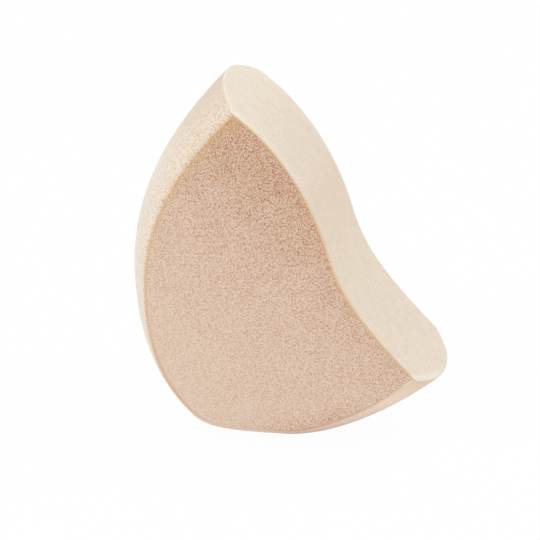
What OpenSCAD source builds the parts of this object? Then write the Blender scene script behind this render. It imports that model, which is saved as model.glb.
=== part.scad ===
// Curved makeup sponge: a foam drop with a domed, skinned side, cut flat front and back,
// and swept in an S curve down its other side, which carries a thin velvet layer.
// X runs across the flat faces, Y through the thickness and Z up. It stands on its heel.

/* [Flat faces] */
// Width of the flat faces, from the domed side to the low tip
face_width = 46.3; // [38:0.1:58]
// Height of the flat faces, from the heel to the top tip
face_height = 55.9; // [46:0.1:70]
// Distance between the two flat faces
thickness = 26; // [18:0.5:34]

/* [Domed side] */
// How far the domed side swells past the flat faces, halfway round it
side_swell = 3.6; // [1.5:0.1:6]
// How far the domed side swells past the flat faces at the two tips
tip_swell = 4.6; // [2.5:0.1:8]
// How far behind the middle of the thickness the domed side is fullest
full_behind = 2.6; // [0:0.1:4]
// Height lost to the flat that the soft heel rests on
rest_depth = 0.8; // [0.4:0.1:1.2]

/* [Layers] */
// Thickness of the dense skin that the mould leaves on the domed side
skin = 0.5; // [0.3:0.05:1]
// Thickness of the velvet layer on the curved side
velvet = 0.5; // [0.3:0.05:1]

/* [Smoothness] */
// Facets along each of the four curves of the domed side
dome_steps = 10; // [6:1:14]
// Facets along each half of the curved side
curve_steps = 12; // [6:1:18]
// Facets through the thickness
depth_steps = 14; // [8:2:20]

/* [Hidden] */

// Curves of the flat faces' outline: start, two handles and end, as shares of face width and height.
// The domed side runs from the top tip down the left, round the heel and along to the low tip.
dome_shares = [
    [[0.332, 1], [0.12, 0.823], [0, 0.65], [0, 0.447]],
    [[0, 0.447], [0, 0.207], [0.101, 0.105], [0.18, 0.043]],
    [[0.18, 0.043], [0.237, -0.003], [0.34, 0], [0.503, 0]],
    [[0.503, 0], [0.665, 0], [0.876, 0.107], [1, 0.2]],
];
// The curved side runs back up from the low tip, hollow at first and then full, to the top tip.
curve_shares = [
    [[1, 0.2], [0.802, 0.367], [0.725, 0.452], [0.679, 0.583]],
    [[0.679, 0.583], [0.656, 0.647], [0.567, 0.865], [0.332, 1]],
];
// Middle of a flat face, from which every point of its outline can be seen
heart_shares = [0.41, 0.42];
// How soon the swell grows from the middle of the domed side toward the tips
tip_power = 1.4;
// How round the domed side is through the thickness: 2 is a parabola, and more is squarer
round_power = 2.4;
// Stretch of the domed side over which its end is drawn to the tip
fade_share = 0.35;
// Samples on each half of the curved side when its length is measured
measure_steps = 40;

function at(share) = [share[0] * face_width, share[1] * face_height];
function unit(v) = v / norm(v);
function outward(head) = [head[1], -head[0]];

// Point and heading on one cubic curve, t from 0 to 1
function cubic(c, t) = pow(1 - t, 3) * at(c[0]) + 3 * pow(1 - t, 2) * t * at(c[1])
    + 3 * (1 - t) * t * t * at(c[2]) + pow(t, 3) * at(c[3]);
function cubic_head(c, t) = unit(pow(1 - t, 2) * (at(c[1]) - at(c[0]))
    + 2 * (1 - t) * t * (at(c[2]) - at(c[1])) + t * t * (at(c[3]) - at(c[2])));
function points_along(curves, steps) = concat(
    [for (c = curves, i = [0 : steps - 1]) cubic(c, i / steps)],
    [cubic(curves[len(curves) - 1], 1)]);
function heads_along(curves, steps) = concat(
    [for (c = curves, i = [0 : steps - 1]) cubic_head(c, i / steps)],
    [cubic_head(curves[len(curves) - 1], 1)]);

dome_path = points_along(dome_shares, dome_steps);
dome_heads = heads_along(dome_shares, dome_steps);
dome_last = len(dome_shares) * dome_steps;

// The curved side, looked up by the distance run along it from the low tip
fine_path = points_along(curve_shares, measure_steps);
fine_heads = heads_along(curve_shares, measure_steps);
fine_last = len(curve_shares) * measure_steps;
fine_runs = [for (i = 0, run = 0; i <= fine_last;
    run = run + (i < fine_last ? norm(fine_path[i + 1] - fine_path[i]) : 0), i = i + 1) run];
curve_length = fine_runs[fine_last];
curve_last = len(curve_shares) * curve_steps;
function looked_up(list, axis, run) = lookup(run, [for (i = [0 : fine_last]) [fine_runs[i], list[i][axis]]]);

// Point on the curved side, drawn in by inset. Past either tip the side runs on straight.
function curve_point(run, inset) = let (
    on_curve = min(max(run, 0), curve_length),
    point = [looked_up(fine_path, 0, on_curve), looked_up(fine_path, 1, on_curve)],
    head = unit([looked_up(fine_heads, 0, on_curve), looked_up(fine_heads, 1, on_curve)]))
    point + (run - on_curve) * head - inset * outward(head);

// How far past a tip the curved side, drawn in by inset, meets the domed side pushed out by push
function reach(past, curve_head, dome_head, push, inset) =
    (push + inset * (outward(curve_head) * outward(dome_head))) / (past * outward(dome_head));
function low_reach(push, inset) =
    reach(-fine_heads[0], fine_heads[0], dome_heads[dome_last], push, inset);
function top_reach(push, inset) =
    reach(fine_heads[fine_last], fine_heads[fine_last], dome_heads[0], push, inset);

// Depth of layer j, counted from the front face, and how far the domed side swells there at point i
function depth(j) = thickness * (j / depth_steps - 1 / 2);
function most_swell(i) = side_swell + (tip_swell - side_swell) * pow(abs(2 * i / dome_last - 1), tip_power);
function swell(j, i) = let (
    side = 2 * depth(j) / thickness,
    leaning = side + 2 * full_behind / thickness * (side * side - 1))
    most_swell(i) * (1 - pow(abs(leaning), round_power));
function fade(share) = pow(max(0, 1 - share / fade_share), 2);

// Points of layer j: the domed side less skin_in, and the curved side less velvet_in
function dome_point(j, i, skin_in, velvet_in) = let (
    head = dome_heads[i],
    top = curve_point(curve_length + top_reach(swell(j, 0) - skin_in, velvet_in), velvet_in),
    low = curve_point(-low_reach(swell(j, dome_last) - skin_in, velvet_in), velvet_in),
    to_top = (top - dome_path[0]) * dome_heads[0],
    to_low = (low - dome_path[dome_last]) * dome_heads[dome_last])
    dome_path[i] + (swell(j, i) - skin_in) * outward(head)
    + (to_top * fade(i / dome_last) + to_low * fade(1 - i / dome_last)) * head;
function core_run(j, k) = let (
    low = low_reach(swell(j, dome_last) - skin, velvet),
    top = top_reach(swell(j, 0) - skin, velvet))
    -low + (curve_length + low + top) * k / curve_last;

// The heel is pressed flat at rest_z, which becomes zero height, and the widest layer is centred on X
middle = floor(depth_steps / 2);
widest = concat([for (i = [0 : dome_last]) dome_point(middle, i, 0, 0)],
    [for (i = [0 : fine_last]) fine_path[i]]);
rest_z = min([for (p = widest) p[1]]) + rest_depth;
middle_x = (min([for (p = widest) p[0]]) + max([for (p = widest) p[0]])) / 2;
function placed(p, j, floor_lift) = [
    p[0] - middle_x,
    depth(j),
    max(p[1] - rest_z, floor_lift),
];

// Grids of points, one row for each layer from front to back
function dome_grid(skin_in, floor_lift) = [for (j = [0 : depth_steps])
    [for (i = [0 : dome_last]) placed(dome_point(j, i, skin_in, velvet), j, floor_lift)]];
function curve_row(j) = [for (k = [0 : curve_last]) placed(curve_point(core_run(j, k), velvet), j, skin)];
function velvet_row(j, inset) = concat(
    [placed(curve_point(-low_reach(swell(j, dome_last), inset), inset), j, 0)],
    [for (k = [0 : curve_last]) placed(curve_point(core_run(j, k), inset), j, 0)],
    [placed(curve_point(curve_length + top_reach(swell(j, 0), inset), inset), j, 0)]);

function pair(a, b, c, d) = [[a, b, c], [a, c, d]];
function pair_back(a, b, c, d) = [[a, c, b], [a, d, c]];

// A closed layer between an outer and an inner grid of the same rows and columns
module layer(outer, inner) {
    rows = len(outer);
    columns = len(outer[0]);
    deep = rows * columns;
    last_row = (rows - 1) * columns;
    points = [for (grid = [outer, inner], row = grid, p = row) p];
    outside = [for (j = [0 : rows - 2], i = [0 : columns - 2]) let (a = j * columns + i)
        each pair(a, a + 1, a + columns + 1, a + columns)];
    inside = [for (j = [0 : rows - 2], i = [0 : columns - 2]) let (a = deep + j * columns + i)
        each pair_back(a, a + 1, a + columns + 1, a + columns)];
    front = [for (i = [0 : columns - 2]) each pair_back(i, i + 1, deep + i + 1, deep + i)];
    back = [for (i = [0 : columns - 2]) let (a = last_row + i)
        each pair(a, a + 1, deep + a + 1, deep + a)];
    start = [for (j = [0 : rows - 2]) let (a = j * columns)
        each pair(a, a + columns, deep + a + columns, deep + a)];
    end = [for (j = [0 : rows - 2]) let (a = j * columns + columns - 1)
        each pair_back(a, a + columns, deep + a + columns, deep + a)];
    polyhedron(points, concat(outside, inside, front, back, start, end), convexity = 6);
}

// Open-cell foam body, bare on both flat faces
module foam_core() {
    dome = dome_grid(skin, skin);
    rings = [for (j = [0 : depth_steps]) let (side = curve_row(j))
        concat(dome[j], [for (k = [1 : curve_last - 1]) side[k]])];
    around = len(rings[0]);
    hearts = [for (j = [0, depth_steps]) placed(at(heart_shares), j, skin)];
    first_ring = len(hearts);
    last_ring = first_ring + depth_steps * around;
    points = concat(hearts, [for (ring = rings, p = ring) p]);
    sides = [for (j = [0 : depth_steps - 1], i = [0 : around - 1]) let (
        a = first_ring + j * around + i,
        b = first_ring + j * around + (i + 1) % around)
        each pair(a, b, b + around, a + around)];
    front = [for (i = [0 : around - 1]) [0, first_ring + (i + 1) % around, first_ring + i]];
    back = [for (i = [0 : around - 1]) [1, last_ring + i, last_ring + (i + 1) % around]];
    color("#dabfa9") polyhedron(points, concat(sides, front, back), convexity = 4);
}

// Dense skin round the domed side, from tip to tip by way of the heel
module moulded_skin() {
    color("#ead8c4") layer(dome_grid(0, 0), dome_grid(skin, skin));
}

// Velvet layer down the curved side, with its ends flush with the domed side
module velvet_face() {
    color("#e8dbc9") layer(
        [for (j = [0 : depth_steps]) velvet_row(j, 0)],
        [for (j = [0 : depth_steps]) velvet_row(j, velvet)]);
}

foam_core();
moulded_skin();
velvet_face();
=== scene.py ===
import math

import bmesh
import bpy
import numpy as np
from mathutils import Matrix, Vector, kdtree


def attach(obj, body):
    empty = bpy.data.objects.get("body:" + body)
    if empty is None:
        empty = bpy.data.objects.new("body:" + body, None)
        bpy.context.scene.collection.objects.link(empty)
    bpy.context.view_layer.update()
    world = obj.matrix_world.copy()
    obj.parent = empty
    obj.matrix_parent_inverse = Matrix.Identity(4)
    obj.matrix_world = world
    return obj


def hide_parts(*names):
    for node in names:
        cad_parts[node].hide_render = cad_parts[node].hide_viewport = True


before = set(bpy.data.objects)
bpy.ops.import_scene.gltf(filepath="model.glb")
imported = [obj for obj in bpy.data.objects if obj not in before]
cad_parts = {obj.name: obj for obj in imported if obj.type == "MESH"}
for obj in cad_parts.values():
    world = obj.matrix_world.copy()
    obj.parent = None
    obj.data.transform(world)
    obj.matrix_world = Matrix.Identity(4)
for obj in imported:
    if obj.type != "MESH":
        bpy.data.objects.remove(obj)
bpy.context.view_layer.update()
mm = 0.001  # shapes are worked out in millimetres and written to their meshes in metres

# The sponge's shape, as the solids have it: outline curves are shares of face width and height
sponge = {
    "faceWidth": 46.3,
    "faceHeight": 55.9,
    "thickness": 26,
    "sideSwell": 3.6,
    "tipSwell": 4.6,
    "fullBehind": 2.6,
    "restDepth": 0.8,
    "skin": 0.5,
    "velvet": 0.5,
    "tipPower": 1.4,
    "roundPower": 2.4,
    "fadeShare": 0.35,
    "domeCurves": [
        [[0.332, 1], [0.12, 0.823], [0, 0.65], [0, 0.447]],
        [[0, 0.447], [0, 0.207], [0.101, 0.105], [0.18, 0.043]],
        [[0.18, 0.043], [0.237, -0.003], [0.34, 0], [0.503, 0]],
        [[0.503, 0], [0.665, 0], [0.876, 0.107], [1, 0.2]],
    ],
    "sweptCurves": [
        [[1, 0.2], [0.802, 0.367], [0.725, 0.452], [0.679, 0.583]],
        [[0.679, 0.583], [0.656, 0.647], [0.567, 0.865], [0.332, 1]],
    ],
    "samples": 600,  # points along each outline when lengths and places are looked up
}


def outward(head):
    return np.stack([head[..., 1], -head[..., 0]], -1)


def dot(a, b):
    return (a * b).sum(-1)


def unit(v):
    return v / np.linalg.norm(v, axis=-1, keepdims=True)


def cubicChain(curves, share):
    # Points and headings along a chain of cubic curves, share from 0 to 1 over the whole chain
    size = np.array((sponge["faceWidth"], sponge["faceHeight"]))
    run = np.clip(share, 0, 1) * len(curves)
    which = np.minimum(run.astype(int), len(curves) - 1)
    t = (run - which)[..., None]
    start, pull, push, end = np.moveaxis(np.array(curves)[which] * size, -2, 0)
    point = (1 - t) ** 3 * start + 3 * (1 - t) ** 2 * t * pull + 3 * (1 - t) * t * t * push + t ** 3 * end
    head = (1 - t) ** 2 * (pull - start) + 2 * (1 - t) * t * (push - pull) + t * t * (end - push)
    return point, unit(head)


def runsAlong(points):
    return np.concatenate([[0], np.cumsum(np.linalg.norm(np.diff(points, axis=0), axis=1))])


evenShares = np.linspace(0, 1, sponge["samples"] + 1)
sweptPoints, sweptHeads = cubicChain(sponge["sweptCurves"], evenShares)
sweptRuns = runsAlong(sweptPoints)
sweptLength = sweptRuns[-1]
domePoints, domeHeads = cubicChain(sponge["domeCurves"], evenShares)
domeRuns = runsAlong(domePoints)
domeLength = domeRuns[-1]


def lookedUp(where, runs, table):
    return np.stack([np.interp(where, runs, table[:, axis]) for axis in range(table.shape[1])], -1)


def sweptPoint(run, inset):
    # The curved side, drawn in by inset. Past either tip it runs on straight.
    onCurve = np.clip(run, 0, sweptLength)
    head = unit(lookedUp(onCurve, sweptRuns, sweptHeads))
    beyond = (run - onCurve)[..., None] * head
    return lookedUp(onCurve, sweptRuns, sweptPoints) + beyond - np.asarray(inset)[..., None] * outward(head)


def reach(past, sweptHead, domeHead, push, inset):
    # How far past a tip the curved side, drawn in by inset, meets the domed side pushed out by push
    return (push + inset * dot(outward(sweptHead), outward(domeHead))) / dot(past, outward(domeHead))


def lowReach(push, inset):
    return reach(-sweptHeads[0], sweptHeads[0], domeHeads[-1], push, inset)


def topReach(push, inset):
    return reach(sweptHeads[-1], sweptHeads[-1], domeHeads[0], push, inset)


def swell(share, side):
    # side is -1 at the front face and 1 at the back face
    leaning = side + 2 * sponge["fullBehind"] / sponge["thickness"] * (side * side - 1)
    tipward = np.abs(2 * share - 1) ** sponge["tipPower"]
    most = sponge["sideSwell"] + (sponge["tipSwell"] - sponge["sideSwell"]) * tipward
    return most * (1 - np.minimum(np.abs(leaning), 1) ** sponge["roundPower"])


def fade(share):
    # How much of its pull to the tip is left at a share of the domed side
    return np.maximum(0, 1 - share / sponge["fadeShare"]) ** 2


def domePoint(share, side, skinIn, velvetIn):
    # The domed side less skinIn, with its ends drawn to the curved side less velvetIn
    share, side, skinIn = np.broadcast_arrays(share, side, skinIn)
    point, head = cubicChain(sponge["domeCurves"], share)
    velvetIn = np.broadcast_to(velvetIn, share.shape)
    top = sweptPoint(sweptLength + topReach(swell(0, side) - skinIn, velvetIn), velvetIn)
    low = sweptPoint(-lowReach(swell(1, side) - skinIn, velvetIn), velvetIn)
    toTop, toLow = dot(top - domePoints[0], domeHeads[0]), dot(low - domePoints[-1], domeHeads[-1])
    slide = toTop * fade(share) + toLow * fade(1 - share)
    return point + (swell(share, side) - skinIn)[..., None] * outward(head) + slide[..., None] * head


widest = np.concatenate([domePoint(evenShares, 0.0, 0.0, 0.0), sweptPoints])
restZ = widest[:, 1].min() + sponge["restDepth"]
middleX = (widest[:, 0].min() + widest[:, 0].max()) / 2


def placed(flat, side, floorLift):
    # From the outline's own plane to the frame, still in millimetres. The heel is pressed flat.
    depth = np.broadcast_to(np.asarray(side) * sponge["thickness"] / 2, flat.shape[:-1])
    return np.stack([flat[..., 0] - middleX, depth, np.maximum(flat[..., 1] - restZ, floorLift)], -1)


# Repeatable noise, from tables of random numbers looked up by whole cell
noiseTable = {
    "period": 256,  # cells before the noise repeats
    "farAway": 9.0,  # cells, farther than any pore can be
}


def cellNoise(across, up, cell, seed):
    # Distance to the nearest pore centre, in cells, and that pore's own random number
    table = np.random.default_rng(seed).random((noiseTable["period"], noiseTable["period"], 3))
    x, y = across / cell, up / cell
    column, row = np.floor(x).astype(int), np.floor(y).astype(int)
    nearest = np.full(x.shape, noiseTable["farAway"])
    own = np.zeros(x.shape)
    for right in (-1, 0, 1):
        for above in (-1, 0, 1):
            pore = table[(column + right) % noiseTable["period"], (row + above) % noiseTable["period"]]
            gap = np.hypot(column + right + pore[..., 0] - x, row + above + pore[..., 1] - y)
            own = np.where(gap < nearest, pore[..., 2], own)
            nearest = np.minimum(gap, nearest)
    return nearest, own


def softNoise(across, up, cell, seed):
    # Smooth hills and dips from -1 to 1
    table = np.random.default_rng(seed).random((noiseTable["period"], noiseTable["period"])) * 2 - 1
    x, y = across / cell, up / cell
    column, row = np.floor(x).astype(int), np.floor(y).astype(int)
    x, y = [(part * part * (3 - 2 * part)) for part in (x - column, y - row)]
    corner = [[table[(column + i) % noiseTable["period"], (row + j) % noiseTable["period"]]
               for j in (0, 1)] for i in (0, 1)]
    left, right = [pair[0] * (1 - y) + pair[1] * y for pair in corner]
    return left * (1 - x) + right * x


def smoothStep(low, high, value):
    share = np.clip((value - low) / (high - low), 0, 1)
    return share * share * (3 - 2 * share)


def hexLinear(code):
    # An sRGB hex colour as linear red, green, blue and alpha
    parts = [int(code[at:at + 2], 16) / 255 for at in (1, 3, 5)]
    return [part / 12.92 if part <= 0.04045 else ((part + 0.055) / 1.055) ** 2.4 for part in parts] + [1]


def newMaterial(name):
    material = bpy.data.materials.new(name)
    material.use_nodes = True
    material.node_tree.nodes.clear()
    return material


def addNode(tree, kind, settings=None, inputs=None, stops=()):
    # One node. An input is given as a value, or as the node or socket that feeds it, and a ramp's
    # stops as place and sRGB hex.
    made = tree.nodes.new("ShaderNode" + kind)
    for name, value in (settings or {}).items():
        setattr(made, name, value)
    for index, (place, code) in enumerate(stops):
        if index == len(made.color_ramp.elements):
            made.color_ramp.elements.new(place)
        made.color_ramp.elements[index].position = place
        made.color_ramp.elements[index].color = hexLinear(code)
    for name, value in (inputs or {}).items():
        if isinstance(value, bpy.types.Node):
            value = value.outputs[0]
        if isinstance(value, bpy.types.NodeSocket):
            tree.links.new(value, made.inputs[name])
        else:
            made.inputs[name].default_value = value
    return made


meshFinish = {
    "sharpFrom": 60,  # degrees between faces whose edge stays crisp
    "weldGap": 0.001,  # mm between points that are meant to be one
}


def addObject(name, data):
    made = bpy.data.objects.new(name, data)
    bpy.context.scene.collection.objects.link(made)
    return made


def keepValues(mesh, attributes):
    # A number at each vertex under each name, for the materials to read
    for name, values in attributes.items():
        made = mesh.attributes.new(name, "FLOAT", "POINT")
        made.data.foreach_set("value", values.astype(np.float32).ravel())


def finishPiece(bm, name, material):
    # The finished mesh, millimetres turned to metres, smooth shaded
    bmesh.ops.scale(bm, vec=(mm, mm, mm), verts=bm.verts)
    mesh = bpy.data.meshes.new(name)
    bm.to_mesh(mesh)
    bm.free()
    mesh.shade_smooth()
    mesh.set_sharp_from_angle(angle=math.radians(meshFinish["sharpFrom"]))
    mesh.materials.append(material)
    return addObject(name, mesh)


# How far the cut edges are rolled off. The domed side's share runs from the top tip to the low tip,
# the curved side's from the low tip to the top tip.
faceEdge = {
    "crisp": 0.22,  # mm, along most of the domed side
    "rolled": 1.3,  # mm, under the low tip
    "rollStarts": 0.5,  # shares of the domed side
    "rollFull": 0.68,
    "rollFades": 0.93,
    "velvetLow": 0.35,  # mm, up to half of the curved side
    "velvetTop": 0.55,  # mm, at its top tip
    "velvetStarts": 0.5,  # share of the curved side
}


def domeRadius(share):
    grown = smoothStep(faceEdge["rollStarts"], faceEdge["rollFull"], share)
    grown = grown * (1 - smoothStep(faceEdge["rollFades"], 1, share))
    return faceEdge["crisp"] + (faceEdge["rolled"] - faceEdge["crisp"]) * grown


def velvetRadius(share):
    grown = smoothStep(faceEdge["velvetStarts"], 1, share)
    return faceEdge["velvetLow"] + (faceEdge["velvetTop"] - faceEdge["velvetLow"]) * grown


def edgeDrop(fromEdge, radius):
    # How far the rolled edge has dropped from the face, fromEdge inside the outer outline
    left = np.clip(radius - fromEdge, 0, radius)
    return radius - np.sqrt(radius * radius - left * left)


# Foam body: the cut faces carry the pores
foam = {
    "spacing": 0.14,  # mm between the mesh points of a face
    "clearance": 0.01,  # mm left to the layers round it
    "wallRows": 14,  # of mesh through the thickness
    "rimRoom": 1 / 3,  # of the spacing, left free of grid points beside the outline
    "rimWeld": 1 / 8,  # of the spacing, between rim points that become one
    "poreCell": 0.36,  # mm from pore to pore
    "poreInner": 0.1,  # of a cell, up to which a pore is full
    "poreOuter": 0.65,  # and where it has ended
    "poreDepth": 0.06,  # mm
    "poreLeast": 0.3,  # depth share of the shallowest pores
    "wander": 0.13,  # mm that a pore's outline wanders, which makes them wormy
    "wanderCell": 0.3,  # mm
    "bigCell": 3.1,  # mm from one large pore to the next
    "bigWidth": 0.2,  # mm
    "bigDepth": 0.1,  # mm
    "bigRare": 0.5,  # share of cells with no large pore
    "patchCell": 3.5,  # mm between rougher and smoother patches
    "patchShare": 0.05,
    "leastStrength": 0.23,  # of the pores, at the lower left
    "mostStrength": 1.2,
    "upStrength": 0.0128,  # for each mm up
    "rightStrength": 0.009,  # for each mm from the left
    "rimFade": 0.15,  # mm from the cut edge in which the pores' depth ends
    "rimTopWidth": 0.9,  # mm over which the tan of the cut edge fades into the foam, at the top tip
    "rimLowWidth": 0.15,  # the same, beside the heel
    "rimEnds": 0.52,  # share of the domed side where that tan has faded
    "rimNarrow": 0.6,  # of that share, where it has come down to its low width
    "rimFades": 0.75,  # of that share, from where it fades
    "rimMost": 0.85,
    "rimPower": 1.5,  # how squarely it ends: 2 is a bell
    "rimSweptWidth": 0.26,  # mm, beside the velvet
    "rimTipWidth": 2.1,  # mm from the top tip that is tan
    "heelShadeRough": 0.35,  # painted shade: added to the strength just above the right end of the heel, so the pores there press deeper and colour darker where the rolled edge turns under
    "heelWidth": 2.2,  # mm from the edge
    "heelRises": (0.66, 0.78),  # shares of the domed side
    "heelFalls": (0.84, 0.93),
    "wanderSeeds": (11, 12),
    "poreSeeds": (21, 31),  # front and back face. The large pores take the next number.
    "patchSeed": 41,
    "mapMargin": 0.01,  # of the map, below and left of each cut face
    "mapWidth": 0.48,  # of the map, for one cut face
    "mapHeight": 0.9,
    "mapWall": 0.93,  # where the hidden wall's strip starts
    "mapWallHeight": 0.06,
}
lessSkin = sponge["skin"] + foam["clearance"]  # mm from the outer surfaces in to the foam
lessVelvet = sponge["velvet"] + foam["clearance"]


def foamRing(side):
    # The foam body's outline at one depth: domed side from the top tip to the low tip, then back up
    dome = domePoint(evenShares, side, lessSkin, lessVelvet)
    low = -lowReach(swell(1.0, side) - sponge["skin"], sponge["velvet"])
    top = sweptLength + topReach(swell(0.0, side) - sponge["skin"], sponge["velvet"])
    back = sweptPoint(low + (top - low) * evenShares, np.full(evenShares.shape, lessVelvet))
    return placed(np.concatenate([dome, back[1:-1]]), side, lessSkin)


def ringAt(ring, where):
    # Points at fractional places round a closed ring
    count = len(ring)
    below = np.floor(where).astype(int)
    part = (where - below)[:, None]
    return ring[below % count] * (1 - part) + ring[(below + 1) % count] * part


def nearestOnRing(points, ring):
    # For each point, its fractional place on the ring and its distance from it
    tree = kdtree.KDTree(len(ring))
    for index, corner in enumerate(ring):
        tree.insert((corner[0], 0, corner[2]), index)
    tree.balance()
    flat = points[:, (0, 2)]
    closest = np.array([tree.find((p[0], 0, p[1]))[1] for p in flat])
    corners = ring[:, (0, 2)]
    best = np.full(len(flat), np.inf)
    place = closest.astype(float)
    for step in (-1, 0):
        start = corners[(closest + step) % len(ring)]
        leg = corners[(closest + step + 1) % len(ring)] - start
        part = np.clip(dot(flat - start, leg) / dot(leg, leg), 0, 1)
        gap = np.linalg.norm(flat - start - part[:, None] * leg, axis=1)
        place = np.where(gap < best, (closest + step + part) % len(ring), place)
        best = np.minimum(gap, best)
    return place, best


def cutFace(bm, ring):
    # A grid trimmed to the face's outline, its rim drawn out to the outline itself
    low, high = ring.min(0), ring.max(0)
    columns = math.ceil((high[0] - low[0]) / foam["spacing"])
    rows = math.ceil((high[2] - low[2]) / foam["spacing"])
    bmesh.ops.create_grid(bm, x_segments=columns, y_segments=rows, size=0.5)
    bmesh.ops.scale(bm, vec=(high[0] - low[0], high[2] - low[2], 1), verts=bm.verts)
    bmesh.ops.rotate(bm, cent=(0, 0, 0), matrix=Matrix.Rotation(math.radians(90), 3, "X"), verts=bm.verts)
    bmesh.ops.translate(bm, vec=Vector((low + high) / 2), verts=bm.verts)
    points = np.array([v.co[:] for v in bm.verts])
    lowest = ring[:, 2].argmin()
    left, right = ring[:lowest + 1][::-1], ring[lowest:]
    inside = (points[:, 0] > np.interp(points[:, 2], left[:, 2], left[:, 0])) & (
        points[:, 0] < np.interp(points[:, 2], right[:, 2], right[:, 0]))
    inside &= nearestOnRing(points, ring)[1] > foam["spacing"] * foam["rimRoom"]
    bmesh.ops.delete(bm, geom=[v for v, keep in zip(bm.verts[:], inside) if not keep], context="VERTS")
    ragged = [f for f in bm.faces if sum(e.is_boundary for e in f.edges) > 2]
    bmesh.ops.delete(bm, geom=ragged, context="FACES")
    bmesh.ops.delete(bm, geom=[v for v in bm.verts if not v.link_faces], context="VERTS")
    drawn = bmesh.ops.extrude_edge_only(bm, edges=[e for e in bm.edges if e.is_boundary])["geom"]
    rim = [v for v in drawn if isinstance(v, bmesh.types.BMVert)]
    place = nearestOnRing(np.array([v.co[:] for v in rim]), ring)[0]
    for tip in (0, sponge["samples"]):  # the nearest point goes right into each tip
        apart = np.abs(place - tip)
        place[np.minimum(apart, len(ring) - apart).argmin()] = tip
    for v, point in zip(rim, ringAt(ring, place)):
        v.co = point
    bmesh.ops.remove_doubles(bm, verts=rim, dist=foam["spacing"] * foam["rimWeld"])


def keepOrder(bm):
    # Extruding leaves edges and faces in another order each run, so they are sorted by their points
    bm.verts.index_update()
    for parts in (bm.edges, bm.faces):
        for index, part in enumerate(sorted(parts, key=lambda part: sorted(v.index for v in part.verts))):
            part.index = index
        parts.sort()


def makeFoamCore(material):
    # The front face, its copy at the back, and the hidden wall drawn from one to the other
    bm = bmesh.new()
    onRing = bm.verts.layers.float.new("ring")
    onFace = bm.verts.layers.float.new("face")
    mapLayer = bm.loops.layers.uv.new("OFBake")
    frontRing = foamRing(-1.0)
    cutFace(bm, frontRing)
    rim = [v for v in bm.verts if v.is_boundary]
    place = nearestOnRing(np.array([v.co[:] for v in rim]), frontRing)[0]
    for v, where in zip(rim, place):
        v[onRing] = where
    for v in bm.verts:
        v[onFace] = -1
    copied = bmesh.ops.duplicate(bm, geom=bm.verts[:] + bm.edges[:] + bm.faces[:])["geom"]
    backVerts = [g for g in copied if isinstance(g, bmesh.types.BMVert)]
    backFaces = [g for g in copied if isinstance(g, bmesh.types.BMFace)]
    bmesh.ops.reverse_faces(bm, faces=backFaces)
    bmesh.ops.translate(bm, vec=(0, sponge["thickness"], 0), verts=backVerts)
    for v in backVerts:
        v[onFace] = 1
    edge = [e for e in bm.edges if e.is_boundary and e.verts[0][onFace] < 0]
    for row in range(1, foam["wallRows"] + 1):
        drawn = bmesh.ops.extrude_edge_only(bm, edges=edge)["geom"]
        edge = [g for g in drawn if isinstance(g, bmesh.types.BMEdge)]
        verts = [g for g in drawn if isinstance(g, bmesh.types.BMVert)]
        side = 2 * row / foam["wallRows"] - 1
        points = ringAt(foamRing(side), np.array([v[onRing] for v in verts]))
        for v, point in zip(verts, points):
            v.co = point
            v[onFace] = 0
    seam = verts + [v for v in backVerts if v.is_boundary]
    bmesh.ops.remove_doubles(bm, verts=seam, dist=meshFinish["weldGap"])
    keepOrder(bm)

    # Each face fills half of the map, and the hidden wall a strip above them
    low = frontRing.min(0)
    span = frontRing.max(0) - low
    for f in bm.faces:
        ends = [v[onFace] for v in f.verts]
        isCut = min(ends) == max(ends) and ends[0] != 0
        for loop in f.loops:
            corner = loop.vert.co
            if isCut:
                across, up = (corner.x - low[0]) / span[0], (corner.z - low[2]) / span[2]
                across = foam["mapMargin"] + foam["mapWidth"] * across + max(ends[0], 0) / 2
                up = foam["mapMargin"] + foam["mapHeight"] * up
            else:
                across = loop.vert[onRing] / len(frontRing)
                up = foam["mapWall"] + foam["mapWallHeight"] * (0.5 + corner.y / sponge["thickness"])
            loop[mapLayer].uv = (across, up)
    piece = finishPiece(bm, "foamCore", material)
    poreFaces(piece.data, frontRing)
    return piece


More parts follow.
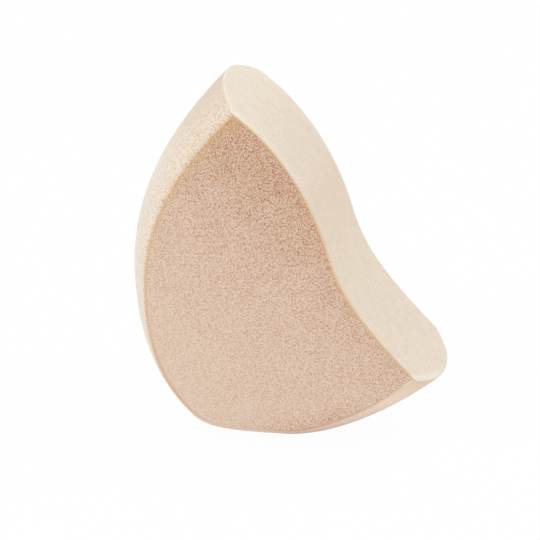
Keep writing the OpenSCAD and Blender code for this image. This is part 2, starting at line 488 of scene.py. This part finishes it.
def poreFaces(mesh, frontRing):
    # Rolls off the rim, presses the pores into both cut faces and keeps what the colours need
    count = len(mesh.vertices)
    points = np.empty(count * 3)
    mesh.vertices.foreach_get("co", points)
    points = points.reshape(-1, 3) / mm
    face = np.empty(count, np.float32)
    mesh.attributes["face"].data.foreach_get("value", face)
    place, gap = nearestOnRing(points, frontRing)
    onDome = place <= sponge["samples"]
    share = np.where(onDome, place, place - sponge["samples"]) / sponge["samples"]
    radius = np.where(onDome, domeRadius(share), velvetRadius(share))
    drop = edgeDrop(gap + np.where(onDome, sponge["skin"], sponge["velvet"]), radius)

    # Where the rim drops, the domed side has already begun to swell
    moves = (drop > 0) & onDome & (face != 0)
    dropped = domePoint(share[moves], 2 * drop[moves] / sponge["thickness"] - 1, lessSkin, lessVelvet)
    points[np.ix_(moves, (0, 2))] += dropped - domePoint(share[moves], -1.0, lessSkin, lessVelvet)

    across, up = points[:, 0] - frontRing[:, 0].min(), points[:, 2]
    bent = [foam["wander"] * softNoise(across, up, foam["wanderCell"], seed) for seed in foam["wanderSeeds"]]
    pit = np.zeros(count)
    big = np.zeros(count)
    for seed, where in zip(foam["poreSeeds"], (face < 0, face > 0)):
        x, z = (across + bent[0])[where], (up + bent[1])[where]
        nearest, own = cellNoise(x, z, foam["poreCell"], seed)
        pit[where] = 1 - smoothStep(foam["poreInner"], foam["poreOuter"], nearest)
        pit[where] *= foam["poreLeast"] + (1 - foam["poreLeast"]) * own
        nearest, own = cellNoise(x, z, foam["bigCell"], seed + 1)
        big[where] = np.exp(-(nearest * foam["bigCell"] / foam["bigWidth"]) ** 2) * (own > foam["bigRare"])
    patch = foam["patchShare"] * softNoise(across, up, foam["patchCell"], foam["patchSeed"])
    strength = foam["leastStrength"] + foam["upStrength"] * up + foam["rightStrength"] * across + patch
    # Painted shade above the right end of the heel, where the face's rolled edge turns under: the pores are
    # made stronger there
    heel = onDome * smoothStep(*foam["heelRises"], share) * (1 - smoothStep(*foam["heelFalls"], share))
    strength = strength + foam["heelShadeRough"] * heel * np.exp(-(gap / foam["heelWidth"]) ** 2)
    strength = np.clip(strength, 0, foam["mostStrength"]) * (face != 0)
    pressed = strength * smoothStep(0, foam["rimFade"], gap)
    pressed = pressed * (foam["poreDepth"] * pit + foam["bigDepth"] * big)
    points[:, 1] -= face * (drop + pressed)

    # The tan of the cut edge: wide at the top tip, a line down the left, none under the heel
    rimShare = share / foam["rimEnds"]
    narrowed = smoothStep(0, foam["rimNarrow"], rimShare)
    rimWidth = foam["rimTopWidth"] + (foam["rimLowWidth"] - foam["rimTopWidth"]) * narrowed
    rimWidth = np.where(onDome, rimWidth, foam["rimSweptWidth"])
    rimStrength = np.where(onDome, 1 - smoothStep(foam["rimFades"], 1, rimShare), 1)
    rim = foam["rimMost"] * rimStrength * np.exp(-(gap / rimWidth) ** foam["rimPower"])
    fromTip = np.linalg.norm(points[:, (0, 2)] - frontRing[0, (0, 2)], axis=1)
    rim = np.maximum(rim, np.exp(-(fromTip / foam["rimTipWidth"]) ** 2))
    keepValues(mesh, {"pore": pit + big, "rough": strength, "rim": rim})
    mesh.update()


# Layers round the body: a ring of mesh columns carried from one tip to the other
layerMesh = {
    "edgeSteps": 7,  # columns over each cut edge
    "innerColumns": 15,  # over the hidden inside
    "finest": 0.13,  # mm between columns next to the cut edges
    "growth": 1.035,  # from one gap to the next
    "coarsest": 0.4,  # mm between columns in mid-side
    "rowSpacing": 0.16,  # mm
    "clearance": 0.01,  # mm between skin and velvet
}


def layerRing(layer, radius):
    # Round the layer's section, one row for each radius: side from -1 to 1, and distance in from the
    # outer surface. It runs over the front edge, the outside, the back edge and the inside.
    rows = len(radius)
    turn = np.linspace(0, math.pi / 2, layerMesh["edgeSteps"])
    edgeIn = np.broadcast_to(layer * (1 - np.sin(turn)), (rows, len(turn)))
    drop = edgeDrop(edgeIn, radius[:, None])
    steps, gap = [layerMesh["finest"]], layerMesh["finest"]
    while steps[-1] < sponge["thickness"] / 2 - layerMesh["coarsest"]:
        gap = min(gap * layerMesh["growth"], layerMesh["coarsest"])
        steps.append(steps[-1] + gap)
    share = np.array(steps) / (steps[-1] + gap)
    outside = drop[:, -1:] + (sponge["thickness"] / 2 - drop[:, -1:]) * share
    half = np.concatenate([drop, outside], 1) * 2 / sponge["thickness"] - 1
    halfIn = np.concatenate([edgeIn, 0 * outside], 1)
    middle = np.zeros((rows, 1))
    inner = np.linspace(1, -1, layerMesh["innerColumns"])[1:-1]
    inner = np.broadcast_to(inner, (rows, len(inner)))
    side = np.concatenate([half, middle, -half[:, ::-1], inner, half[:, :1]], 1)
    inset = np.concatenate([halfIn, middle, halfIn[:, ::-1], 0 * inner + layer, halfIn[:, :1]], 1)
    return side, inset


def wrapGrid(points, attributes, name, material):
    # A grid takes the points, its seam is welded and its two ends are filled
    bm = bmesh.new()
    bm.loops.layers.uv.new("OFBake")
    rows, columns = points.shape[:2]
    bmesh.ops.create_grid(bm, x_segments=columns - 1, y_segments=rows - 1, size=0.5, calc_uvs=True)
    flat = bpy.data.meshes.new(name)
    bm.to_mesh(flat)
    bm.free()
    flat.vertices.foreach_set("co", points.astype(np.float32).ravel())
    keepValues(flat, attributes)
    bm = bmesh.new()
    bm.from_mesh(flat)
    bpy.data.meshes.remove(flat)
    bmesh.ops.remove_doubles(bm, verts=bm.verts, dist=meshFinish["weldGap"])
    ends = bmesh.ops.holes_fill(bm, edges=[e for e in bm.edges if e.is_boundary], sides=0)["faces"]
    bmesh.ops.triangulate(bm, faces=ends)
    bmesh.ops.recalc_face_normals(bm, faces=bm.faces)
    return finishPiece(bm, name, material)


def depthFrom(side, inset):
    # mm from the nearer cut face, measured over the edge
    return (1 - np.abs(side)) * sponge["thickness"] / 2 + inset


def cutShare(fromFoam, width):
    # 1 where the cut edge meets the foam, fading outwards over the cut edge and the outer surface
    return np.exp(-(np.maximum(fromFoam, 0) / width) ** 2)


# Moulded skin: tan grains near the cut edges, fading to a smooth side
skinLook = {
    "grainCell": 0.4,  # mm from grain to grain
    "grainInner": 0.12,  # of a cell, up to which a grain is full
    "grainOuter": 0.65,  # and where it has ended
    "grainDepth": 0.06,  # mm
    "grainLeast": 0.25,  # strength share of the faintest grains
    "grainMost": 0.86,  # strength share beside the cut edge
    "grainReach": 10,  # mm from the cut edge
    "grainPower": 1.5,  # how squarely the grains end there: 2 is a bell
    "grainFull": 0.14,  # share of the domed side up to which the grains are full
    "grainEnds": 0.46,  # and where they have faded
    # Share of the domed side, and mm over which the cut edge's own colour fades there
    "edgeWidths": ((0, 0.85), (0.08, 0.85), (0.26, 0.36), (0.7, 0.36), (0.8, 0.8), (0.92, 0.8), (1, 0.4)),
    # Share of the domed side, and mm of the cut edge beside the foam that look like foam there
    "foamWidths": ((0, 0), (0.22, 0), (0.34, 0.24), (0.5, 0.24), (0.6, 0)),
    "foamFades": 0.7,  # of that width, from where the foam's look fades
    "foamBlend": 0.1,  # mm past that width, where it has gone
    "dimpleCell": 0.9,  # mm between the faint dimples all over
    "dimpleDepth": 0.012,  # mm
    "grainSeed": 51,
    "dimpleSeed": 52,
}


def makeMouldedSkin(material):
    layer = sponge["skin"]
    runs = np.linspace(0, domeLength, math.ceil(domeLength / layerMesh["rowSpacing"]))
    share = np.interp(runs, domeRuns, evenShares)
    side, inset = layerRing(layer, domeRadius(share))
    share, runs = [np.broadcast_to(column[:, None], side.shape) for column in (share, runs)]
    fromFace = depthFrom(side, inset)
    around = side * sponge["thickness"] / 2 + inset
    nearest, own = cellNoise(runs, around, skinLook["grainCell"], skinLook["grainSeed"])
    grain = 1 - smoothStep(skinLook["grainInner"], skinLook["grainOuter"], nearest)
    grain = grain * (skinLook["grainLeast"] + (1 - skinLook["grainLeast"]) * own)
    strength = skinLook["grainMost"] * np.exp(-(fromFace / skinLook["grainReach"]) ** skinLook["grainPower"])
    strength = strength * (1 - smoothStep(skinLook["grainFull"], skinLook["grainEnds"], share))
    shown = inset < layer / 2
    dimple = softNoise(runs, around, skinLook["dimpleCell"], skinLook["dimpleSeed"])
    pressed = shown * (strength * skinLook["grainDepth"] * grain + skinLook["dimpleDepth"] * dimple)
    inside = np.isclose(inset, layer)
    flat = domePoint(share, side, inset + pressed, sponge["velvet"] + layerMesh["clearance"])
    points = placed(flat, side, np.where(inside, layer, 0))
    tanWidth, foamWidth = [np.interp(share, *zip(*skinLook[name])) for name in ("edgeWidths", "foamWidths")]
    fromFoam = depthFrom(side, layer - inset)
    foamFades, foamEnds = skinLook["foamFades"] * foamWidth, foamWidth + skinLook["foamBlend"]
    foamEdge = (foamWidth > 0) * (1 - smoothStep(foamFades, foamEnds, fromFoam))
    attributes = {"grain": grain, "rough": strength, "cutEdge": cutShare(fromFoam - foamWidth, tanWidth),
                  "foamEdge": foamEdge, "along": share, "run": runs * mm, "across": around * mm}
    return wrapGrid(points, attributes, "mouldedSkin", material)


# Velvet: a short pile down the curved side, rounded at both ends
velvetLook = {
    "lowRadius": 0.45,  # mm, at the low tip
    "topRadius": 0.3,  # mm, at the top tip
    "napCell": 0.45,  # mm between the tufts of the pile
    "napDepth": 0.015,  # mm
    "napSeed": 61,
    "rimWidth": 0.7,  # mm of the painted highlight, a lighter rim, round the low end
    "rimMost": 0.9,  # strength of that rim at the front face
    "rimLoses": 0.8,  # of it on the way to the back face
    "rimLost": (-0.6, 0.5),  # between these places through the thickness, -1 at the front and 1 at the back
    "stripWidth": 2,  # mm of the painted highlight strip beside the cut edge
    "stripMost": 0.35,
    "stripGrows": (0.3, 0.8),  # shares of the curved side over which that strip comes in
    "edgeWidth": 0.36,  # mm over which the cut edge's tan fades
}


def makeVelvetFace(material):
    # Rows run over the low end's rounding, along the pile and over the top end's rounding
    layer = sponge["velvet"]
    turn = np.linspace(0, math.pi / 2, layerMesh["edgeSteps"])
    endIn, endFrom = 1 - np.sin(turn), 1 - np.cos(turn)
    lowRadius, topRadius = velvetLook["lowRadius"], velvetLook["topRadius"]
    long = np.linspace(0, 1, math.ceil(sweptLength / layerMesh["rowSpacing"]))[1:-1]
    share = np.concatenate([0 * turn, long, 0 * turn + 1])
    fromLow = np.concatenate([lowRadius * endFrom, 0 * long + lowRadius, 0 * turn + lowRadius])
    fromTop = np.concatenate([0 * turn + topRadius, 0 * long + topRadius, topRadius * endFrom[::-1]])
    # How far each row has turned over the top end's rounding. The material also paints shade with it,
    # against the highlight that the rounding catches
    trim = np.concatenate([0 * turn, 0 * long, endIn[::-1]])
    rowIn = np.concatenate([lowRadius * endIn, 0 * long, 0 * turn]) + topRadius * trim
    side, sideIn = layerRing(layer, velvetRadius(share))
    share, fromLow, fromTop, rowIn, trim = [np.broadcast_to(column[:, None], side.shape)
                                            for column in (share, fromLow, fromTop, rowIn, trim)]
    inset = np.maximum(rowIn, sideIn)
    low = fromLow - lowReach(swell(1.0, side), inset)
    top = sweptLength + topReach(swell(0.0, side), inset) - fromTop
    run = low + (top - low) * share
    nap = softNoise(run, side * sponge["thickness"] / 2, velvetLook["napCell"], velvetLook["napSeed"])
    nap = nap * (sideIn < layer / 2)
    points = placed(sweptPoint(run, inset + velvetLook["napDepth"] * nap), side, 0)
    # Painted highlight, a lighter rim: round the low end, and a strip beside the cut edge toward the top
    lost = velvetLook["rimLoses"] * smoothStep(*velvetLook["rimLost"], side)
    rim = np.exp(-((run - low) / velvetLook["rimWidth"]) ** 2) * (velvetLook["rimMost"] - lost)
    strip = np.exp(-(depthFrom(side, sideIn) / velvetLook["stripWidth"]) ** 2)
    strip = strip * smoothStep(*velvetLook["stripGrows"], share)
    rim = np.maximum(rim, velvetLook["stripMost"] * strip)
    cutEdge = cutShare(depthFrom(side, layer - sideIn), velvetLook["edgeWidth"])
    attributes = {"cutEdge": cutEdge, "along": share, "rim": rim, "trim": trim}
    return wrapGrid(points, attributes, "velvetFace", material)


def perMetre(size):
    # Texture scale for a pattern that repeats every so many mm
    return 1 / (size * mm)


finePit = {
    "stirDetail": 1,
    "inner": 0.1,  # of a cell, up to which a pit is full
    "outer": 0.65,  # and where it has ended
    "shallowest": 0.2,
    "deepest": 1.1,
}
noiseSpan = {"From Min": 0.35, "From Max": 0.65}  # nearly all that a noise texture gives


def finePores(tree, flat, finish):
    # Worn little pits, 1 in the middle of a deep one: a flat cell pattern on stirred coordinates
    stir = addNode(tree, "TexNoise", {"noise_dimensions": "2D"},
                   {"Vector": flat, "Scale": perMetre(finish["stirCell"]),
                    "Detail": finePit["stirDetail"]})
    moved = addNode(tree, "VectorMath", {"operation": "MULTIPLY_ADD"},
                    {0: stir.outputs["Color"], 1: [finish["stirBy"] * mm] * 3, 2: flat})
    cells = addNode(tree, "TexVoronoi", {"voronoi_dimensions": "2D"},
                    {"Vector": moved, "Scale": perMetre(finish["fineCell"])})
    pit = addNode(tree, "MapRange", {"interpolation_type": "SMOOTHSTEP"},
                  {"Value": cells.outputs["Distance"], "From Min": finePit["inner"],
                   "From Max": finePit["outer"], "To Min": 1, "To Max": 0})
    own = addNode(tree, "SeparateColor", inputs={"Color": cells.outputs["Color"]})
    depth = addNode(tree, "MapRange", inputs={"Value": own.outputs["Red"], "To Min": finePit["shallowest"],
                                              "To Max": finePit["deepest"]})
    return addNode(tree, "Math", {"operation": "MULTIPLY"}, {0: pit, 1: depth})


def mottled(tree, coords, colour, rough, finish):
    # The colour made a little rosier or greener from spot to spot, most where rough is 1
    noise = addNode(tree, "TexNoise", inputs={"Vector": coords, "Scale": perMetre(finish["mottleCell"])})
    share = addNode(tree, "Math", {"operation": "MULTIPLY"}, {0: rough, 1: finish["mottle"]})
    return addNode(tree, "MixRGB", {"blend_type": "LINEAR_LIGHT"},
                   {"Fac": share, "Color1": colour, "Color2": noise.outputs["Color"]})


def finishMaterial(material, colour, height, finish):
    tree = material.node_tree
    bump = addNode(tree, "Bump", inputs={"Height": height, "Strength": finish["bumpStrength"],
                                         "Distance": finish["bumpDepth"] * mm})
    shader = addNode(tree, "BsdfPrincipled",
                     inputs={"Base Color": colour, "Normal": bump, **finish["surface"]})
    addNode(tree, "OutputMaterial", inputs={"Surface": shader})
    return material


# Open-cell polyurethane foam, cut with a hot wire or a knife that opens every cell: matt, pinkish
# beige cell walls, orange brown where light is lost in a pore, tan beside the skin and the velvet
foamFinish = {
    "walls": ((0, "#ebd8c6"), (0.5, "#cca284"), (1, "#9d5d31")),
    "rimWalls": ((0, "#e4c59f"), (0.5, "#d6ac7e"), (1, "#bf8a54")),
    "fineCell": 0.27,  # mm from one cell to the next
    "fineShare": 0.85,
    "stirCell": 0.3,  # mm between the bends that make the cells wormy
    "stirBy": 0.4,  # mm
    "dustCell": 0.13,  # mm, the cell walls' own unevenness, a little coarser than real to show
    "dustShare": 0.22,
    "duskiest": 0.1,  # how much darker the foam is painted where it is roughest, at the top: its denser pores, with painted shade
    "duskFrom": 0.75,  # strength of the pores where that begins
    "duskTo": 1.1,  # and where it is full
    "mottle": 0.12,
    "mottleCell": 0.25,  # mm
    "bumpStrength": 0.6,
    "bumpDepth": 0.015,  # mm
    "surface": {"Roughness": 0.92, "Specular IOR Level": 0.15},
}


def makeFoamMaterial():
    material = newMaterial("cutOpenCellFoam")
    tree = material.node_tree
    coords = addNode(tree, "TexCoord").outputs["Object"]
    pore, rough, rim = [addNode(tree, "Attribute", {"attribute_name": name}).outputs["Fac"]
                        for name in ("pore", "rough", "rim")]
    # The flat cell pattern is turned to lie on the cut faces
    turned = addNode(tree, "Mapping", inputs={"Vector": coords, "Rotation": (math.radians(-90), 0, 0)})
    fine = finePores(tree, turned, foamFinish)
    noise = addNode(tree, "TexNoise", inputs={"Vector": coords, "Scale": perMetre(foamFinish["dustCell"])})
    dust = addNode(tree, "MapRange", inputs={"Value": noise, **noiseSpan})
    pores = addNode(tree, "Mix", inputs={"Factor": foamFinish["fineShare"], "A": pore, "B": fine})
    walls = addNode(tree, "Mix", inputs={"Factor": foamFinish["dustShare"], "A": pores, "B": dust})
    # Painted shade, with the denser pores: the roughest foam, at the top, is made darker still
    dusk = addNode(tree, "MapRange", {"interpolation_type": "SMOOTHSTEP"},
                   {"Value": rough, "From Min": foamFinish["duskFrom"], "From Max": foamFinish["duskTo"],
                    "To Min": 0, "To Max": foamFinish["duskiest"]})
    deep = addNode(tree, "Math", {"operation": "MULTIPLY_ADD"}, {0: walls, 1: rough, 2: dusk})
    colour = addNode(tree, "ValToRGB", inputs={"Fac": deep}, stops=foamFinish["walls"])
    tan = addNode(tree, "ValToRGB", inputs={"Fac": deep}, stops=foamFinish["rimWalls"])
    colour = addNode(tree, "MixRGB", inputs={"Fac": rim, "Color1": colour, "Color2": tan})
    colour = mottled(tree, coords, colour, rough, foamFinish)
    height = addNode(tree, "Math", {"operation": "MULTIPLY"}, {0: deep, 1: -1.0})
    return finishMaterial(material, colour, height, foamFinish)


# Dense polyurethane skin, moulded: matt and cream, tan grains where the mould's edge was trimmed
skinFinish = {
    # Colours along the domed side, from the top tip to the low tip: darker and pinker at the top tip as
    # painted shade, lighter on the underside from the heel to the low tip as painted light from below
    "body": ((0, "#dfcbbb"), (0.05, "#e4d4c4"), (0.12, "#eee6dc"), (0.3, "#ebe3da"), (0.46, "#e9dbce"),
             (0.54, "#f0d5c0"), (0.7, "#f6deca"), (0.78, "#f1d5c0"), (0.86, "#f8e2d0"), (0.94, "#fae7d5"),
             (1, "#eed7b9")),
    "grains": ((0, "#efe6dc"), (0.4, "#e7d2b5"), (1, "#b97b38")),
    "edge": ((0, "#d9b588"), (0.46, "#d9b58c"), (0.6, "#deb99f"), (1, "#deb99f")),
    # How strong the cut edge's colour is along that way, as greys
    "edgeShare": ((0, "#b0b0b0"), (0.12, "#b0b0b0"), (0.26, "#e0e0e0"), (0.46, "#e0e0e0"), (0.54, "#000000"),
                  (0.64, "#000000"), (0.76, "#ffffff"), (0.92, "#ffffff"), (1, "#000000")),
    "foam": "#deb9a0",
    "fineCell": 0.4,  # mm
    "fineShare": 0.7,
    "stirCell": 0.3,  # mm
    "stirBy": 0.4,  # mm
    "dustCell": 0.3,  # mm
    "brokenByNoise": (0.6, 1.4),  # least and most that the dust makes of the cut edge's colour
    "mottle": 0.08,
    "mottleCell": 0.3,  # mm
    "bumpStrength": 0.6,
    "bumpDepth": 0.04,  # mm
    "surface": {"Roughness": 0.8, "Specular IOR Level": 0.25},
}


def makeSkinMaterial():
    material = newMaterial("mouldedFoamSkin")
    tree = material.node_tree
    coords = addNode(tree, "TexCoord").outputs["Object"]
    grain, rough, along, cutEdge, foamEdge, run, across = [
        addNode(tree, "Attribute", {"attribute_name": name}).outputs["Fac"]
        for name in ("grain", "rough", "along", "cutEdge", "foamEdge", "run", "across")]
    dust = addNode(tree, "TexNoise", inputs={"Vector": coords, "Scale": perMetre(skinFinish["dustCell"])})
    flat = addNode(tree, "CombineXYZ", inputs={"X": run, "Y": across})
    fine = finePores(tree, flat, skinFinish)
    grains = addNode(tree, "Mix", inputs={"Factor": skinFinish["fineShare"], "A": grain, "B": fine})
    tan = addNode(tree, "ValToRGB", inputs={"Fac": grains}, stops=skinFinish["grains"])
    body = addNode(tree, "ValToRGB", inputs={"Fac": along}, stops=skinFinish["body"])
    colour = addNode(tree, "MixRGB", inputs={"Fac": rough, "Color1": body, "Color2": tan})
    # The cut edge's tan is lost among the grains at the top, a line down the left and gone at the heel
    line = addNode(tree, "ValToRGB", inputs={"Fac": along}, stops=skinFinish["edgeShare"])
    least, most = skinFinish["brokenByNoise"]
    brokenByNoise = addNode(tree, "MapRange", inputs={"Value": dust, **noiseSpan, "To Min": least, "To Max": most})
    edge = addNode(tree, "Math", {"operation": "MULTIPLY"}, {0: cutEdge, 1: line})
    edge = addNode(tree, "Math", {"operation": "MULTIPLY"}, {0: edge, 1: brokenByNoise})
    edgeColour = addNode(tree, "ValToRGB", inputs={"Fac": along}, stops=skinFinish["edge"])
    colour = addNode(tree, "MixRGB", inputs={"Fac": edge, "Color1": colour, "Color2": edgeColour})
    colour = addNode(tree, "MixRGB", inputs={"Fac": foamEdge, "Color1": colour,
                                             "Color2": hexLinear(skinFinish["foam"])})
    colour = mottled(tree, coords, colour, rough, skinFinish)
    pressed = addNode(tree, "Math", {"operation": "MULTIPLY"}, {0: grains, 1: rough})
    height = addNode(tree, "Math", {"operation": "MULTIPLY_ADD"}, {0: pressed, 1: -1.0, 2: dust})
    return finishMaterial(material, colour, height, skinFinish)


# Short velvety flock, bonded on: cream, with a faint speckle and a soft sheen at grazing light
velvetFinish = {
    # Colours along the curved side, from the low tip to the top tip: darker in the concave middle as painted
    # shade, lighter toward the top tip as painted light
    "body": ((0, "#f6e9d9"), (0.4, "#f3e5d2"), (0.6, "#efdfcb"), (0.68, "#f3e4d4"),
             (0.78, "#f4e7d6"), (1, "#faf0e1")),
    # What is laid over them in turn: where it starts, where it is full, its share there, its colour
    "specks": (0.28, 0.05, 0.7, "#c39a6c"),
    "nap": (0.35, 0.68, 0.2, "#c39a6c"),
    "worn": (0.4, 0.7, 0.12, "#dfc8a8"),
    # painted highlight: the lighter rim round the low end and the strip beside the cut edge
    "rim": (0, 1, 1, "#fdf8f2"),
    # painted shade on the top end's rounding, against the highlight it catches
    "trim": (0, 1, 0.9, "#e5d6c2"),
    "cutEdge": (0, 0.9, 0.7, "#dfbb8c"),
    "speckCell": 0.7,  # mm
    "speckRare": 0.4,  # share of the cells with no speck
    "napCell": 0.26,  # mm, a little coarser than the real pile so that it shows
    "highlightBroken": (0.35, 0.6),  # the nap's noise between which the rim's painted highlight comes in
    "wornCell": 2.6,  # mm between patches where the pile lies a little flatter
    "wornDetail": 1,
    "mottle": 0.045,
    "mottleCell": 0.2,  # mm
    "bumpStrength": 0.6,
    "bumpDepth": 0.04,  # mm
    "surface": {"Roughness": 0.85, "Specular IOR Level": 0.2, "Sheen Weight": 0.1, "Sheen Roughness": 0.4},
}


def makeVelvetMaterial():
    material = newMaterial("velvetFlock")
    tree = material.node_tree
    coords = addNode(tree, "TexCoord").outputs["Object"]
    along, cutEdge, rim, trim = [addNode(tree, "Attribute", {"attribute_name": name}).outputs["Fac"]
                                 for name in ("along", "cutEdge", "rim", "trim")]
    nap = addNode(tree, "TexNoise", inputs={"Vector": coords, "Scale": perMetre(velvetFinish["napCell"])})
    least, most = velvetFinish["highlightBroken"]
    brokenByNoise = addNode(tree, "MapRange", inputs={"Value": nap, "From Min": least, "From Max": most,
                                               "To Max": velvetFinish["rim"][2]})
    specks = addNode(tree, "TexVoronoi",
                     inputs={"Vector": coords, "Scale": perMetre(velvetFinish["speckCell"])})
    colour = addNode(tree, "ValToRGB", inputs={"Fac": along}, stops=velvetFinish["body"])
    own = addNode(tree, "SeparateColor", inputs={"Color": specks.outputs["Color"]})
    rare = addNode(tree, "MapRange",
                   inputs={"Value": own.outputs["Red"], "From Min": velvetFinish["speckRare"],
                           "To Max": velvetFinish["specks"][2]})
    worn = addNode(tree, "TexNoise", inputs={"Vector": coords, "Scale": perMetre(velvetFinish["wornCell"]),
                                             "Detail": velvetFinish["wornDetail"]})
    colour = mottled(tree, coords, colour, 1.0, velvetFinish)
    sources = {"specks": specks.outputs["Distance"], "nap": nap, "worn": worn,
               "rim": rim, "trim": trim, "cutEdge": cutEdge}
    for name, source in sources.items():
        starts, full, most, over = velvetFinish[name]
        most = {"specks": rare, "rim": brokenByNoise}.get(name, most)
        share = addNode(tree, "MapRange", {"interpolation_type": "SMOOTHSTEP"},
                        {"Value": source, "From Min": starts, "From Max": full, "To Min": 0, "To Max": most})
        colour = addNode(tree, "MixRGB", inputs={"Fac": share, "Color1": colour, "Color2": hexLinear(over)})
    return finishMaterial(material, colour, nap, velvetFinish)


# Camera: the photograph's viewing angle, aimed at a point on the front-to-back middle plane
photoView = {
    "right": 9.885,  # degrees
    "above": 18.962,
    "distance": 0.6,  # m
    "aim": (19.32, 24.39),  # mm in the outline's own plane
    "scale": 5.89,  # pixels to the mm at the aim
    "pixels": 540,
    "sensor": 36,  # mm
    "clipStart": 0.05,  # m
    "clipEnd": 20,  # m
}


def setCamera():
    camera = addObject("camera", bpy.data.cameras.new("camera"))
    bpy.context.scene.camera = camera
    turn, rise = math.radians(photoView["right"]), math.radians(photoView["above"])
    back = Vector((math.sin(turn) * math.cos(rise), -math.cos(turn) * math.cos(rise), math.sin(rise)))
    aim = Vector((photoView["aim"][0] - middleX, 0, photoView["aim"][1] - restZ)) * mm
    camera.location = aim + back * photoView["distance"]
    camera.rotation_euler = back.to_track_quat("Z", "Y").to_euler()
    camera.data.sensor_width = photoView["sensor"]
    perMetreSeen = photoView["scale"] / mm  # pixels
    camera.data.lens = perMetreSeen * photoView["distance"] / photoView["pixels"] * photoView["sensor"]
    camera.data.clip_start = photoView["clipStart"]
    camera.data.clip_end = photoView["clipEnd"]


# Studio: pale plain floor, white surround, soft lamps
studio = {
    "floorSize": 4.0,  # m
    "floorPaint": "#f4f4f4",
    "surround": 0.68,  # strength of the light from all round
    "floorWhite": 0.97,  # share of the floor that the camera sees as plain white
}
lamps = (
    # name, place in m, size in m, power in W
    ("keyLamp", (-0.85, -0.75, 0.65), 0.7, 5),
    ("topLamp", (0.5, 0.1, 1.0), 0.7, 3),
)


def whiteForCamera(tree):
    # 1 for camera, glossy and transmission rays
    path = addNode(tree, "LightPath")
    seen = path.outputs["Is Camera Ray"]
    for other in ("Is Glossy Ray", "Is Transmission Ray"):
        seen = addNode(tree, "Math", {"operation": "MAXIMUM"}, {0: seen, 1: path.outputs[other]})
    return seen


def setStudio():
    bpy.context.scene.view_settings.view_transform = "Standard"
    world = bpy.data.worlds.new("surround")
    bpy.context.scene.world = world
    world.use_nodes = True
    tree = world.node_tree
    tree.nodes.clear()
    glow = addNode(tree, "Background", inputs={"Color": (1, 1, 1, 1), "Strength": studio["surround"]})
    white = addNode(tree, "Background", inputs={"Color": (1, 1, 1, 1), "Strength": 1})
    mix = addNode(tree, "MixShader", inputs={0: whiteForCamera(tree), 1: glow, 2: white})
    addNode(tree, "OutputWorld", inputs={"Surface": mix})

    bm = bmesh.new()
    bmesh.ops.create_grid(bm, x_segments=1, y_segments=1, size=studio["floorSize"] / 2)
    mesh = bpy.data.meshes.new("floor")
    bm.to_mesh(mesh)
    bm.free()
    floor = addObject("floor", mesh)
    paint = newMaterial("paleFloor")
    tree = paint.node_tree
    matt = addNode(tree, "BsdfDiffuse", inputs={"Color": hexLinear(studio["floorPaint"])})
    plain = addNode(tree, "Emission", inputs={"Color": (1, 1, 1, 1), "Strength": 1})
    share = addNode(tree, "Math", {"operation": "MULTIPLY"},
                    {0: whiteForCamera(tree), 1: studio["floorWhite"]})
    mix = addNode(tree, "MixShader", inputs={0: share, 1: matt, 2: plain})
    addNode(tree, "OutputMaterial", inputs={"Surface": mix})
    mesh.materials.append(paint)

    for name, place, size, power in lamps:
        lamp = addObject(name, bpy.data.lights.new(name, "AREA"))
        lamp.location = place
        lamp.rotation_euler = Vector(place).to_track_quat("Z", "Y").to_euler()
        lamp.data.size = size
        lamp.data.energy = power
        lamp.visible_camera = False


setCamera()
setStudio()
print("camera, floor and lamps set")

foamCore = makeFoamCore(makeFoamMaterial())
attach(foamCore, "root")
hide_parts("foam_core")
print("foam body made")

mouldedSkin = makeMouldedSkin(makeSkinMaterial())
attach(mouldedSkin, "root")
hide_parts("moulded_skin")
print("moulded skin made")

velvetFace = makeVelvetFace(makeVelvetMaterial())
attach(velvetFace, "root")
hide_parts("velvet_face")
print("velvet layer made")
